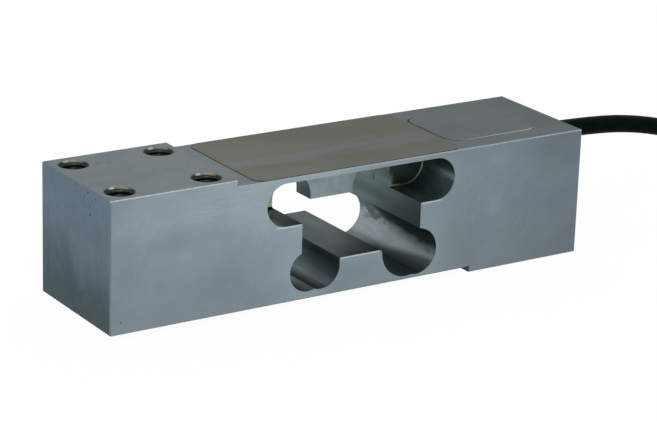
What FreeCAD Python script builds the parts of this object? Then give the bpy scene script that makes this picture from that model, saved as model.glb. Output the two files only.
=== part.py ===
import FreeCAD, Part
import math
import os

# A parallel beam load cell: one aluminium block with a window milled through it, so that
# it bends like a parallelogram. Millimetres. X runs along the beam towards the cable, Y
# across it and Z up. The origin is in the middle of the underside of the cell.

# Block
beam_length = 150.0
beam_width = 38.0
beam_height = 38.0
pad_length = 37.5
pad_step = 1.6
edge_break = 0.3

# Window through the block, measured from the loading end and from the underside
window_start = 57.4
window_width = 38.1
column_width = 12.2
lower_block_top = 11.5
upper_block_depth = 12.9
upper_flexure = 5.3
block_corner_radius = 1.0

# Lobes at the foot of the window: the cable side has been opened further by hand
loading_lobe_radius = 5.75
loading_lobe_pitch = 4.2
loading_lobe_height = 9.4
cable_lobe_inner_radius = 8.0
cable_lobe_inner_height = 10.6
cable_lobe_outer_radius = 6.6
cable_lobe_outer_height = 9.2
cable_lobe_pitch = 3.3

# Side pockets, one from each face, with a thin web between them
pocket_length = 60.0
pocket_height = 12.0
pocket_offset = 1.4
top_ligament = 1.4
web_thickness = 7.2
pocket_floor_radius = 0.6

# Tapped holes, top of the loading end and underside of the cable end
hole_spacing = 25.4
tap_drill_radius = 3.4
countersink_radius = 4.25
hole_depth = 18.0
hole_roof = 7.4
drill_point_angle = 118.0

# Gauge bed in the top face and the way from it to the wiring pocket
bed_depth = 0.5
bed_width = 9.6
bed_margin = 5.0
bed_corner_radius = 1.5
groove_width = 2.4
passage_radius = 1.2
passage_run = 3.6

# Strain gauges and solder terminals
film_thickness = 0.08
copper_thickness = 0.05
gauge_length = 7.5
gauge_width = 3.2
gauge_pitch = 4.8
gauge_tab = 1.0
terminal_length = 4.0
terminal_width = 7.2
terminal_gap = 1.6
ribbon_width = 0.3
ribbon_thickness = 0.1
ribbon_lap = 0.8
ribbon_pitch = 0.5

# Cover foil on the top face
foil_thickness = 0.12
foil_reach = 13.6
foil_margin = 0.4
foil_corner_radius = 3.6
foil_offset = 5.8

# Wiring pocket and its cover plate
seat_gap = 0.8
cover_length = 29.4
cover_width = 24.4
cover_corner_radius = 4.0
cover_thickness = 1.2
adhesive_width = 0.25
adhesive_sink = 0.3
ledge_width = 1.5
clamp_cover_gap = 1.1
clamp_floor_gap = 1.5

# Circuit board
board_pad_thickness = 1.0
board_thickness = 1.2
board_length = 17.5
board_width = 15.0
board_margin = 2.0
board_corner_radius = 0.8
resistor_radius = 0.9
resistor_length = 5.0
resistor_leg_radius = 0.25
resistor_leg_reach = 1.0
resistor_lift = 0.15
resistor_pitch = 2.6
chip_length = 3.2
chip_width = 2.4
chip_height = 0.7

# Cable where it enters the block
cable_radius = 2.6
bush_radius = 4.5
bush_length = 8.0
jacket_inside = 5.0
clamp_wall = 1.0
clamp_length = 3.2
core_radius = 0.6
core_offset = 0.8
core_reach = 3.4
core_stagger = 2.4

# Free cable, from the end face to the hank: along the cell, across it, and up or down
cable_drop = (
    (0.0, 0.0, 0.0),
    (16.0, 0.0, 0.0),
    (34.0, 0.0, -1.3),
    (54.0, 0.0, -7.0),
    (76.0, 8.5, -11.2),
    (98.0, 18.6, -12.3),
    (120.0, 20.8, -11.6),
)
cable_arc_share = 0.45

# Hank of the put-away length
hank_turns_across = 2
hank_layers = 4
hank_fold_diameters = 3.0
hank_straight = 50.0
tie_thickness = 0.7
tie_width = 2.8
tie_head = (4.6, 4.4, 3.2)
tie_tail_length = 7.0
tie_angles = (-90.0, 90.0)

# Tail with its sleeve and stripped leads
tail_drop = ((0.0, 0.0), (-15.0, 0.6), (-31.0, 3.4))
sleeve_radius = 3.2
sleeve_lap = 9.0
sleeve_nose = 7.0
sleeve_nose_radius = 2.4
lead_radius = 0.6
lead_tip_radius = 0.35
lead_tip_length = 6.0
lead_circle = 1.35
lead_runs = (8.0, 10.0, 9.5)
lead_turns = (0.0, 0.5, 1.0)
lead_levels = (0.0, 0.75, 1.0)
lead_fan = {
    "lead_red": (180.0, -33.0),
    "lead_black": (108.0, -16.0),
    "lead_shield": (-108.0, 1.0),
    "lead_white": (36.0, 16.0),
    "lead_green": (-36.0, 33.0),
}

# Reach of a cutting tool past the face it cuts, and how far apart two places may be and
# still count as one
through = 4.0
same_place = 0.01

# Values that follow from the ones above
left_end = -beam_length / 2
right_end = beam_length / 2
front = -beam_width / 2
back = beam_width / 2
top_face = beam_height - pad_step
upper_block_bottom = top_face - upper_block_depth
web_opening_height = top_face - upper_flexure - column_width / 2
wall_left = left_end + window_start
wall_right = wall_left + window_width
block_left = wall_left + column_width
block_right = wall_right - column_width
pocket_middle = pocket_offset
pocket_top = top_face - top_ligament
gauge_left_x = wall_left + column_width / 2
gauge_right_x = wall_right - column_width / 2
bed_floor = top_face - bed_depth
foil_start = left_end + pad_length + foil_offset
foil_end = wall_right + foil_reach
seat_start = foil_end + seat_gap
seat_end = seat_start + cover_length
seat_floor = top_face - cover_thickness
clamp_radius = cable_radius + clamp_wall
cable_height = seat_floor - clamp_cover_gap - clamp_radius
chamber_start = seat_start + ledge_width
chamber_end = seat_end - ledge_width
chamber_floor = cable_height - clamp_radius - clamp_floor_gap
fixing_hole_depth = chamber_floor - hole_roof
board_start = chamber_start + board_margin
board_top = chamber_floor + board_pad_thickness + board_thickness
jacket_end = chamber_end - jacket_inside
hank_inner_turn = 2 * cable_radius * hank_fold_diameters
hank_outer_turn = hank_inner_turn + 2 * cable_radius * (hank_turns_across - 1)
hank_inside = hank_inner_turn - cable_radius
hank_outside = hank_outer_turn + cable_radius
hank_base = tie_thickness
hank_top = hank_base + 2 * cable_radius * hank_layers
hank_corner = cable_radius * (2 - math.sqrt(2))


def point(x, y, z):
    """A place or direction as a vector."""
    return FreeCAD.Vector(x, y, z)


def block(x0, x1, y0, y1, z0, z1):
    """A box between two corners."""
    return Part.makeBox(x1 - x0, y1 - y0, z1 - z0, point(x0, y0, z0))


def upright_edges(shape):
    """The edges of a shape that run along Z."""
    return [e for e in shape.Edges if e.BoundBox.XLength + e.BoundBox.YLength < same_place]


def plate(x0, x1, y0, y1, z0, z1, corner):
    """A flat plate with round corners, seen from above."""
    body = block(x0, x1, y0, y1, z0, z1)
    return body.makeFillet(corner, upright_edges(body))


def bore_across(x, z, radius):
    """A round bar across the whole block, to cut with."""
    length = beam_width + 2 * through
    return Part.makeCylinder(radius, length, point(x, front - through, z), point(0, 1, 0))


def bar_along(x0, x1, y, z, radius):
    """A round bar along X."""
    return Part.makeCylinder(radius, x1 - x0, point(x0, y, z), point(1, 0, 0))


def slot_across(x0, x1, z0, z1):
    """A square cut across the whole block."""
    return block(x0, x1, front - through, back + through, z0, z1)


def corner_arc(before, corner, after, radius):
    """The arc that rounds a corner of a route, and where it starts and ends."""
    into = (corner - before).normalize()
    out = (after - corner).normalize()
    turn = into.getAngle(out)
    reach = radius * math.tan(turn / 2)
    start = corner - into * reach
    end = corner + out * reach
    inward = (out - into).normalize()
    middle = corner + inward * (radius / math.cos(turn / 2) - radius)
    return Part.Arc(start, middle, end).toShape(), start, end


def route_wire(points):
    """Straight runs joined by tangent arcs, each as large as its two runs allow.

    Gives the wire and the radii.
    """
    edges = []
    radii = []
    here = points[0]
    for before, corner, after in zip(points, points[1:], points[2:]):
        shorter = min((corner - before).Length, (after - corner).Length)
        turn = (corner - before).getAngle(after - corner)
        radius = cable_arc_share * shorter / math.tan(turn / 2)
        arc, start, end = corner_arc(before, corner, after, radius)
        edges.append(Part.LineSegment(here, start).toShape())
        edges.append(arc)
        radii.append(radius)
        here = end
    edges.append(Part.LineSegment(here, points[-1]).toShape())
    return Part.Wire(edges), radii


def tube(points, radius):
    """A round solid along a route, with its length and its radii."""
    wire, radii = route_wire(points)
    ring = Part.makeCircle(radius, points[0], points[1] - points[0])
    solid = wire.makePipeShell([Part.Wire([ring])], True, True)
    return solid, wire.Length, radii


def bent_wire(points, radius):
    """A round solid along a route with square corners."""
    path = Part.makePolygon(points)
    ring = Part.makeCircle(radius, points[0], points[1] - points[0])
    right_corners = 1
    return path.makePipeShell([Part.Wire([ring])], True, True, right_corners)


def ribbon(route, y):
    """A flat ribbon that follows a route in the XZ plane, in the middle of its thickness."""
    half = ribbon_thickness / 2
    above = []
    below = []
    for i, (x, z) in enumerate(route):
        before = route[max(i - 1, 0)]
        after = route[min(i + 1, len(route) - 1)]
        into = math.atan2(z - before[1], x - before[0]) if i else None
        out = math.atan2(after[1] - z, after[0] - x) if i < len(route) - 1 else into
        into = out if into is None else into
        mean = (into + out) / 2
        reach = half / math.cos((out - into) / 2)
        above.append(point(x - reach * math.sin(mean), 0, z + reach * math.cos(mean)))
        below.append(point(x + reach * math.sin(mean), 0, z - reach * math.cos(mean)))
    outline = Part.makePolygon(above + below[::-1] + above[:1])
    solid = Part.Face(outline).extrude(point(0, ribbon_width, 0))
    return solid.translate(point(0, y - ribbon_width / 2, 0))


def raw_block():
    """The block with its two raised pads and broken outer edges."""
    pad_foot = left_end + pad_length
    pad_heel = right_end - pad_length
    outline = [
        (left_end, pad_step),
        (pad_heel, pad_step),
        (pad_heel, 0),
        (right_end, 0),
        (right_end, top_face),
        (pad_foot, top_face),
        (pad_foot, beam_height),
        (left_end, beam_height),
    ]
    corners = [point(x, front, z) for x, z in outline + outline[:1]]
    body = Part.Face(Part.makePolygon(corners)).extrude(point(0, beam_width, 0))
    feet = ((pad_foot, top_face), (pad_heel, pad_step))
    broken = []
    for edge in body.Edges:
        middle = edge.CenterOfMass
        in_foot = any(abs(middle.x - x) + abs(middle.z - z) < edge_break for x, z in feet)
        if not in_foot:
            broken.append(edge)
    return body.makeChamfer(edge_break, broken)


def window():
    """The cut that goes right through the block."""
    bottom = loading_lobe_height
    column = column_width / 2
    cut = slot_across(wall_left, wall_right, lower_block_top, upper_block_bottom)
    for x in (gauge_left_x, gauge_right_x):
        cut = cut.fuse(bore_across(x, web_opening_height, column))
        cut = cut.fuse(slot_across(x - column, x + column, lower_block_top, web_opening_height))
    outer = block_left - loading_lobe_radius
    for x in (outer, outer - loading_lobe_pitch):
        cut = cut.fuse(bore_across(x, loading_lobe_height, loading_lobe_radius))
    cut = cut.fuse(slot_across(wall_left, block_left, bottom, lower_block_top))
    inner = block_right + cable_lobe_inner_radius
    lobe = bore_across(inner, cable_lobe_inner_height, cable_lobe_inner_radius)
    cut = cut.fuse(lobe.common(slot_across(block_right, wall_right, 0, lower_block_top)))
    outer = inner + cable_lobe_pitch
    cut = cut.fuse(bore_across(outer, cable_lobe_outer_height, cable_lobe_outer_radius))
    low = cable_lobe_inner_height
    cut = cut.fuse(slot_across(block_right, wall_right, low, lower_block_top))
    return cut.removeSplitter()


def block_corner(body):
    """The round corner of the lower block on the cable side."""
    radius = block_corner_radius
    square = slot_across(block_right - radius, block_right, lower_block_top - radius, lower_block_top)
    keep = bore_across(block_right - radius, lower_block_top - radius, radius)
    return body.cut(square.cut(keep))


def round_ended(x0, x1, z0, z1, y):
    """A slot's outline across the block at one depth, as a face."""
    radius = (z1 - z0) / 2
    middle = (z0 + z1) / 2
    left = x0 + radius
    right = x1 - radius
    top = Part.LineSegment(point(left, y, z1), point(right, y, z1))
    cable_end = Part.Arc(point(right, y, z1), point(x1, y, middle), point(right, y, z0))
    bottom = Part.LineSegment(point(right, y, z0), point(left, y, z0))
    loading_end = Part.Arc(point(left, y, z0), point(x0, y, middle), point(left, y, z1))
    outline = Part.Wire([side.toShape() for side in (top, cable_end, bottom, loading_end)])
    return Part.Face(outline)


def side_pocket(side):
    """The long round-ended pocket milled from one face, with a rounded floor edge."""
    x0 = pocket_middle - pocket_length / 2
    floor_y = side * web_thickness / 2
    mouth_y = side * (beam_width / 2 + through)
    outline = round_ended(x0, x0 + pocket_length, pocket_top - pocket_height, pocket_top, mouth_y)
    bar = outline.extrude(point(0, floor_y - mouth_y, 0))
    flat = [e for e in bar.Edges if e.BoundBox.YLength < same_place]
    rim = [e for e in flat if abs(e.CenterOfMass.y - floor_y) < same_place]
    return bar.makeFillet(pocket_floor_radius, rim)


def hole_places(middle_x):
    """The four hole centres of one pattern."""
    half = hole_spacing / 2
    return [(middle_x + i * half, j * half) for i in (-1, 1) for j in (-1, 1)]


def tapped_hole(x, y, face, inward, depth):
    """A countersunk hole at the tap drill's size with a drill point."""
    point_depth = tap_drill_radius / math.tan(math.radians(drill_point_angle / 2))
    sink = countersink_radius - tap_drill_radius
    way = point(0, 0, inward)
    mouth = point(x, y, face)
    bore = Part.makeCylinder(tap_drill_radius, depth, mouth, way)
    tip = Part.makeCone(tap_drill_radius, 0, point_depth, mouth + way * depth, way)
    flare = Part.makeCone(countersink_radius + sink, tap_drill_radius, 2 * sink, mouth - way * sink, way)
    return bore.fuse([tip, flare])


def gauge_bed():
    """The shallow bed for the gauges and the groove that leads the ribbons out."""
    x0 = gauge_left_x - gauge_length / 2 - bed_margin / 2
    x1 = gauge_right_x + gauge_length / 2 + bed_margin / 2
    bed = plate(x0, x1, -bed_width / 2, bed_width / 2, bed_floor, top_face, bed_corner_radius)
    half = groove_width / 2
    groove = block(x1 - half, foil_end - passage_run, -half, half, bed_floor, top_face)
    return bed.fuse(groove).removeSplitter()


def passage():
    """The slanting drilled way from the groove down into the wiring pocket."""
    mouth_x = foil_end - passage_run
    run = chamber_start + passage_radius - mouth_x + through
    start = point(mouth_x - through, 0, top_face + through)
    return Part.makeCylinder(passage_radius, run * math.sqrt(2), start, point(1, 0, -1))


def wiring_pocket():
    """The seat of the cover plate and the chamber under it."""
    half = cover_width / 2
    seat = plate(seat_start, seat_end, -half, half, seat_floor, top_face + through, cover_corner_radius)
    inner = half - ledge_width
    corner = cover_corner_radius - ledge_width / 2
    chamber = plate(chamber_start, chamber_end, -inner, inner, chamber_floor, seat_floor + through, corner)
    return seat, chamber


def beam():
    """The whole machined block."""
    body = raw_block()
    body = body.cut(window())
    body = block_corner(body)
    body = body.cut([side_pocket(-1), side_pocket(1)])
    for x, y in hole_places(left_end + pad_length / 2):
        body = body.cut(tapped_hole(x, y, beam_height, -1, hole_depth))
    for x, y in hole_places(right_end - pad_length / 2):
        body = body.cut(tapped_hole(x, y, 0, 1, fixing_hole_depth))
    seat, chamber = wiring_pocket()
    body = body.cut([passage(), gauge_bed(), seat, chamber])
    body = body.cut(bar_along(chamber_end - through, right_end + through, 0, cable_height, cable_radius))
    body = body.cut(bar_along(right_end - bush_length, right_end + through, 0, cable_height, bush_radius))
    return body


def strain_gauge(x, y, tab_side):
    """A gauge: its carrier film and the two solder tabs at one end."""
    half = gauge_length / 2
    side = gauge_width / 2
    film = block(x - half, x + half, y - side, y + side, bed_floor, bed_floor + film_thickness)
    tabs = []
    edge = x + tab_side * (half - gauge_tab / 2)
    top = bed_floor + film_thickness
    for shift in (-side / 2, side / 2):
        x0 = edge - gauge_tab / 2
        y0 = y + shift - gauge_tab / 2
        tabs.append(block(x0, x0 + gauge_tab, y0, y0 + gauge_tab, top, top + copper_thickness))
    return film.fuse(tabs).removeSplitter()


def terminal_place(side):
    """Where the middle of a solder terminal lies."""
    gauge_x = gauge_left_x if side < 0 else gauge_right_x
    return gauge_x - side * (gauge_length / 2 + terminal_gap + terminal_length / 2)


def solder_terminal(end):
    """A solder terminal: its film and a copper pad for each tab and ribbon."""
    x = terminal_place(end)
    half = terminal_length / 2
    side = terminal_width / 2
    top = bed_floor + film_thickness
    film = block(x - half, x + half, -side, side, bed_floor, top)
    pad = gauge_width / 2 - ribbon_width
    pads = []
    for y in tab_rows():
        pads.append(block(x - half, x + half, y - pad / 2, y + pad / 2, top, top + copper_thickness))
    middle = 2 * ribbon_pitch
    pads.append(block(x - half, x + half, -middle, middle, top, top + copper_thickness))
    return film.fuse(pads).removeSplitter()


def tab_rows():
    """The four lines across the bed on which solder tabs lie."""
    rows = []
    for gauge_y in (-gauge_pitch / 2, gauge_pitch / 2):
        rows += [gauge_y - gauge_width / 4, gauge_y + gauge_width / 4]
    return rows


def gauge_wires():
    """Every ribbon: gauge to terminal, terminal to terminal, and out to the board."""
    z = bed_floor + film_thickness + copper_thickness + ribbon_thickness / 2
    ribbons = []
    for side in (-1, 1):
        gauge_x = gauge_left_x if side < 0 else gauge_right_x
        tab_x = gauge_x - side * (gauge_length / 2 - ribbon_lap)
        x0, x1 = sorted((tab_x, terminal_place(side) + side * ribbon_lap))
        for y in tab_rows():
            ribbons.append(ribbon([(x0, z), (x1, z)], y))
    left = terminal_place(-1) + terminal_length / 2 - ribbon_lap
    right = terminal_place(1) - terminal_length / 2 + ribbon_lap
    for y in tab_rows():
        ribbons.append(ribbon([(left, z), (right, z)], y))
    drop = foil_end - passage_run - ribbon_pitch
    landing = board_top + ribbon_thickness / 2
    start = terminal_place(1) + ribbon_lap
    turn = board_start - ribbon_pitch
    foot = board_start + 2 * ribbon_lap
    route = [(start, z), (drop, z), (turn, z - turn + drop), (turn, landing), (foot, landing)]
    for i in range(4):
        ribbons.append(ribbon(route, (i - 1.5) * ribbon_pitch))
    return Part.makeCompound(ribbons)


def trim_resistor(x):
    """A film resistor that stands across the board on its two legs."""
    z = board_top + resistor_lift + resistor_radius
    half = resistor_length / 2
    body = Part.makeCylinder(resistor_radius, resistor_length, point(x, -half, z), point(0, 1, 0))
    rims = [e for e in body.Edges if e.BoundBox.YLength < same_place]
    solid = body.makeChamfer(resistor_radius / 3, rims)
    for side in (-1, 1):
        start = point(x, side * (half - resistor_leg_reach), z)
        corner = point(x, side * (half + resistor_leg_reach), z)
        foot = point(x, side * (half + resistor_leg_reach), board_top)
        solid = solid.fuse(bent_wire([start, corner, foot], resistor_leg_radius))
    return solid.removeSplitter()


def zero_chip(x):
    """The flat chip resistor with its two end caps."""
    half = chip_length / 2
    cap = chip_length / 6
    core = block(x - chip_width / 2, x + chip_width / 2, -half, half, board_top, board_top + chip_height)
    caps = []
    for y0 in (-half - cap / 2, half - cap / 2):
        z1 = board_top + chip_height + cap / 4
        caps.append(block(x - chip_width / 2, x + chip_width / 2, y0, y0 + cap, board_top, z1))
    return core.fuse(caps).removeSplitter()


def board_leads():
    """The four cores that bend down from the end of the jacket to the board."""
    cores = []
    for y in (-core_offset, core_offset):
        for level, stagger in ((-core_offset, 0), (core_offset, core_stagger)):
            z = cable_height + level
            x = jacket_end - core_reach - stagger
            route = [point(jacket_end, y, z), point(x, y, z), point(x, y, board_top)]
            cores.append(bent_wire(route, core_radius))
    return Part.makeCompound(cores)


def hank_profile(spare):
    """The section of the hank's turns in the XZ plane, larger all round by a spare thickness.

    It is a rectangle with its corners cut off, beside the fold's axis.
    """
    inner = hank_inside - spare
    outer = hank_outside + spare
    low = hank_base - spare
    high = hank_top + spare
    corner = hank_corner + spare
    outline = [
        (inner + corner, low),
        (outer - corner, low),
        (outer, low + corner),
        (outer, high - corner),
        (outer - corner, high),
        (inner + corner, high),
        (inner, high - corner),
        (inner, low + corner),
    ]
    corners = [point(x, 0, z) for x, z in outline + outline[:1]]
    return Part.Face(Part.makePolygon(corners))


def hank_solid(centre):
    """The outer shape of the hank: two straight bundles and the fold at each end."""
    axis = point(0, 0, 1)
    parts = []
    for angle in (-90, 90):
        section = hank_profile(0).rotate(point(0, 0, 0), axis, angle)
        way = 1 if angle < 0 else -1
        fold = section.revolve(point(0, 0, 0), axis, 180)
        parts.append(fold.translate(point(way * hank_straight / 2, 0, 0)))
        bundle = section.extrude(point(hank_straight, 0, 0))
        parts.append(bundle.translate(point(-hank_straight / 2, 0, 0)))
    return parts[0].fuse(parts[1:]).removeSplitter().translate(centre)


def hank_tie(centre, angle, hank):
    """A tie round one bundle, with its head and the cut end of its strap inside the hank."""
    thick = tie_thickness
    strap = hank_profile(thick).cut(hank_profile(0)).extrude(point(0, tie_width, 0))
    strap = strap.translate(point(0, -tie_width / 2, 0))
    head_out, head_wide, head_high = tie_head
    middle = (hank_base + hank_top) / 2
    x1 = hank_inside - thick / 2
    x0 = x1 - head_high
    head = block(x0, x1, -head_wide / 2, head_wide / 2, middle, middle + head_out)
    head = head.makeChamfer(head_high / 5, [e for e in head.Edges if e.CenterOfMass.x < x1 - thick])
    tail_x = x1 - head_high / 2
    tail = block(tail_x - thick, tail_x, -tie_width / 2, tie_width / 2, middle - tie_tail_length, middle)
    solid = strap.fuse([head, tail]).removeSplitter()
    solid = solid.rotate(point(0, 0, 0), point(0, 0, 1), angle)
    return solid.translate(centre).cut(hank)


def sleeve(start, way):
    """The shrink sleeve over the end of the jacket, drawn in to a nose past it."""
    back_end = start - way * sleeve_lap
    body = Part.makeCylinder(sleeve_radius, sleeve_lap, back_end, way)
    nose = Part.makeCone(sleeve_radius, sleeve_nose_radius, sleeve_nose / 3, start, way)
    tip = start + way * (sleeve_nose / 3)
    neck = Part.makeCylinder(sleeve_nose_radius, sleeve_nose * 2 / 3, tip, way)
    return body.fuse([nose, neck]).removeSplitter()


def lead(nose, way, place, spread):
    """One stripped lead: straight out of the sleeve, then fanned out down to the surface."""
    side = way.cross(point(0, 0, 1)).normalize()
    turn = math.radians(place)
    start = nose + side * (lead_circle * math.cos(turn)) + point(0, 0, lead_circle * math.sin(turn))
    drop = start.z - lead_radius
    route = [start]
    for run, share, level in zip(lead_runs, lead_turns, lead_levels):
        aim = math.radians(spread * share)
        out = way * math.cos(aim) + side * math.sin(aim)
        after = route[-1] + out * run
        after.z = start.z - drop * level
        route.append(after)
    solid, length, radii = tube(route, lead_radius)
    tip = Part.makeCylinder(lead_tip_radius, lead_tip_length, route[-1], out)
    return solid.fuse(tip), radii


os.makedirs("parts", exist_ok=True)
nodes = {}

nodes["beam"] = beam()

# Gauges, terminals and ribbons in their bed, and the compound over them
gauge_number = 1
for side in (-1, 1):
    gauge_x = gauge_left_x if side < 0 else gauge_right_x
    for y in (-gauge_pitch / 2, gauge_pitch / 2):
        nodes[f"strain_gauge_{gauge_number}"] = strain_gauge(gauge_x, y, -side)
        gauge_number += 1
nodes["solder_terminal_1"] = solder_terminal(-1)
nodes["solder_terminal_2"] = solder_terminal(1)
nodes["gauge_wires"] = gauge_wires()
bedded = [shape for name, shape in nodes.items() if name != "beam"]
nodes["gauge_sealant"] = gauge_bed().cut(bedded)
nodes["gauge_cover_foil"] = plate(
    foil_start,
    foil_end,
    front + foil_margin,
    back - foil_margin,
    top_face,
    top_face + foil_thickness,
    foil_corner_radius,
)

# Cover plate and the bead round it
half_cover = cover_width / 2
bead_top = top_face - adhesive_sink
bead = plate(seat_start, seat_end, -half_cover, half_cover, seat_floor, bead_top, cover_corner_radius)
nodes["pocket_cover"] = plate(
    seat_start + adhesive_width,
    seat_end - adhesive_width,
    -half_cover + adhesive_width,
    half_cover - adhesive_width,
    seat_floor,
    top_face,
    cover_corner_radius - adhesive_width,
)
nodes["cover_adhesive"] = bead.cut(nodes["pocket_cover"])

# Board and what stands on it
half_board = board_width / 2
pad_top = chamber_floor + board_pad_thickness
board_end = board_start + board_length
board_place = (board_start, board_end, -half_board, half_board)
nodes["board_pad"] = block(*board_place, chamber_floor, pad_top)
nodes["circuit_board"] = plate(*board_place, pad_top, board_top, board_corner_radius)
resistor_x = board_start + board_length / 2 - resistor_pitch / 2
nodes["span_resistor_1"] = trim_resistor(resistor_x - resistor_pitch)
nodes["span_resistor_2"] = trim_resistor(resistor_x)
nodes["zero_resistor"] = zero_chip(resistor_x + resistor_pitch)

# Cable entry
nodes["cable_entry"] = bar_along(jacket_end, right_end, 0, cable_height, cable_radius)
bush = bar_along(right_end - bush_length, right_end, 0, cable_height, bush_radius)
nodes["cable_bush"] = bush.cut(nodes["cable_entry"])
ring = bar_along(chamber_end - clamp_length, chamber_end, 0, cable_height, cable_radius + clamp_wall)
nodes["jacket_clamp"] = ring.cut(nodes["cable_entry"])
nodes["board_leads"] = board_leads()

# Compound round all of that
chamber = wiring_pocket()[1].common(block(left_end, right_end, front, back, 0, seat_floor))
potted = [
    "board_pad",
    "circuit_board",
    "span_resistor_1",
    "span_resistor_2",
    "zero_resistor",
    "cable_entry",
    "jacket_clamp",
    "board_leads",
    "gauge_wires",
]
nodes["pocket_potting"] = chamber.cut([nodes[name] for name in potted])

# Free cable down to the hank, the hank, and the tail with its leads
exit_point = point(right_end, 0, cable_height)
cable_points = [exit_point + point(x, y, z) for x, y, z in cable_drop]
nodes["cable"], cable_run, cable_radii = tube(cable_points, cable_radius)
hank_centre = point(cable_points[-1].x + hank_straight / 2, 0, 0)
tail_start = point(cable_points[-1].x, -hank_outer_turn, hank_base + cable_radius)
tail_points = [tail_start + point(x, y, 0) for x, y in tail_drop]
nodes["cable_tail"], tail_run, tail_radii = tube(tail_points, cable_radius)
hank = hank_solid(hank_centre)
nodes["cable_hank"] = hank.cut([nodes["cable"], nodes["cable_tail"]])
for number, angle in enumerate(tie_angles, start=1):
    nodes[f"hank_tie_{number}"] = hank_tie(hank_centre, angle, hank)
tail_way = (tail_points[-1] - tail_points[-2]).normalize()
nodes["end_sleeve"] = sleeve(tail_points[-1], tail_way).cut(nodes["cable_tail"])
nose = tail_points[-1] + tail_way * sleeve_nose
for name, (place, spread) in lead_fan.items():
    nodes[name], lead_radii = lead(nose, tail_way, place, spread)
    print(name, "bend radii", [round(r, 1) for r in lead_radii])

section = math.pi * cable_radius**2
for name, run, radii in (("cable", cable_run, cable_radii), ("cable_tail", tail_run, tail_radii)):
    share = nodes[name].Volume / (section * run)
    rounded = [round(r) for r in radii]
    print(name, "length", round(run, 1), "volume share", round(share, 4), "radii", rounded)

for name, shape in nodes.items():
    solids = shape.Solids
    shape = solids[0] if len(solids) == 1 else Part.makeCompound(solids)
    print(name, "solids", len(solids), "valid", shape.isValid(), "volume", round(shape.Volume, 2))
    shape.exportStep(f"parts/{name}.step")
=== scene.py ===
"""Looks of a parallel beam load cell: finishes, threads, cover groove, cable, floor and light."""

import logging
import math
from collections.abc import Callable
from dataclasses import dataclass
from enum import Enum
from functools import partial, reduce
from itertools import product

import bpy
import numpy as np
from mathutils import Matrix, Vector


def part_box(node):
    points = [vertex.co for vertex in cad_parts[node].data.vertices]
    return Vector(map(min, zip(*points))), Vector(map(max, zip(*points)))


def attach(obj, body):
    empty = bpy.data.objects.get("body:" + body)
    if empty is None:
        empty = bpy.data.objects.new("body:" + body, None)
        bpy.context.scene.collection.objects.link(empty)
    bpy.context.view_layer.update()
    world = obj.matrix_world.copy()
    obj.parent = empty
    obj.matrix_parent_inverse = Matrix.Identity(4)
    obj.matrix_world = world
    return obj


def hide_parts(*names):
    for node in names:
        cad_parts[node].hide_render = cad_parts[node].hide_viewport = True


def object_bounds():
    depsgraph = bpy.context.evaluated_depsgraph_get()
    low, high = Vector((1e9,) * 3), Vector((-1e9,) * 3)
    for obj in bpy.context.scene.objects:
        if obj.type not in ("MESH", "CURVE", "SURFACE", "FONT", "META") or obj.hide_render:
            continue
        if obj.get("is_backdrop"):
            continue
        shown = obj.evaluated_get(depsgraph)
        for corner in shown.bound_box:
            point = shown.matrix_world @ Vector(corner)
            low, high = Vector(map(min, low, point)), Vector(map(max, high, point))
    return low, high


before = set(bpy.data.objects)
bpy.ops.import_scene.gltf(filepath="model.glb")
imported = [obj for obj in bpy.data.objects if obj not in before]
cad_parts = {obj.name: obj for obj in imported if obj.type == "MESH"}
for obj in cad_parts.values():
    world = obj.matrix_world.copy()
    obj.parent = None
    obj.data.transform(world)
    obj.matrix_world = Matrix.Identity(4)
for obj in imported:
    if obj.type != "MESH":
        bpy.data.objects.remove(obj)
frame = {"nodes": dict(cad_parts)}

cad_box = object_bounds()
log = logging.getLogger("load_cell")

# Millimetres are the working unit; Blender's own unit is the metre
mm = 0.001
body_name = "root"

# Where most of a noise lies, and where its middle part does
noise_reach = (0.3, 0.7)
noise_middle = (0.35, 0.65)

# Bare metal: the shader's metallic share, and what is left of its brightness at flat angles
metal_share = 0.9
glancing_share = 0.65

Node = bpy.types.Node
Tree = bpy.types.NodeTree
Socket = bpy.types.NodeSocket
Material = bpy.types.Material
Piece = bpy.types.Object
Colour = tuple[float, float, float]
Point = tuple[float, float, float]
Number = Socket | float
Paint = Socket | Colour
Inputs = dict[str | int, Number | Paint]
Rows = tuple[tuple[float, ...], ...]


class Slot(Enum):
    """The record's material slot names; nothing in this script uses them."""

    BEAM = "beam"
    ADHESIVE = "adhesive"
    JACKET = "cable_jacket"


def fill(node: Node, inputs: Inputs) -> None:
    """Join sockets to a node's inputs, or set the inputs' own values.

    Args:
        node: the node to fill.
        inputs: for each input's name or number, another node's socket or a plain value.
    """
    for name, value in inputs.items():
        socket = node.inputs[name]
        if isinstance(value, Socket):
            node.id_data.links.new(value, socket)
        else:
            socket.default_value = (*value, 1.0) if socket.type == "RGBA" else value


def wire(tree: Tree, kind: str, inputs: Inputs | None = None, **settings: str) -> Node:
    """A new shader node.

    Args:
        tree: the node tree to put it in.
        kind: the node's kind.
        inputs: what its inputs are filled with.
        settings: its own settings.

    Returns:
        The node.
    """
    node = tree.nodes.new("ShaderNode" + kind)
    for name, value in settings.items():
        setattr(node, name, value)
    fill(node, inputs or {})
    return node


def clear_tree(block: Material | bpy.types.World) -> Tree:
    """The emptied node tree of a material or world."""
    block.use_nodes = True
    block.node_tree.nodes.clear()
    return block.node_tree


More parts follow.
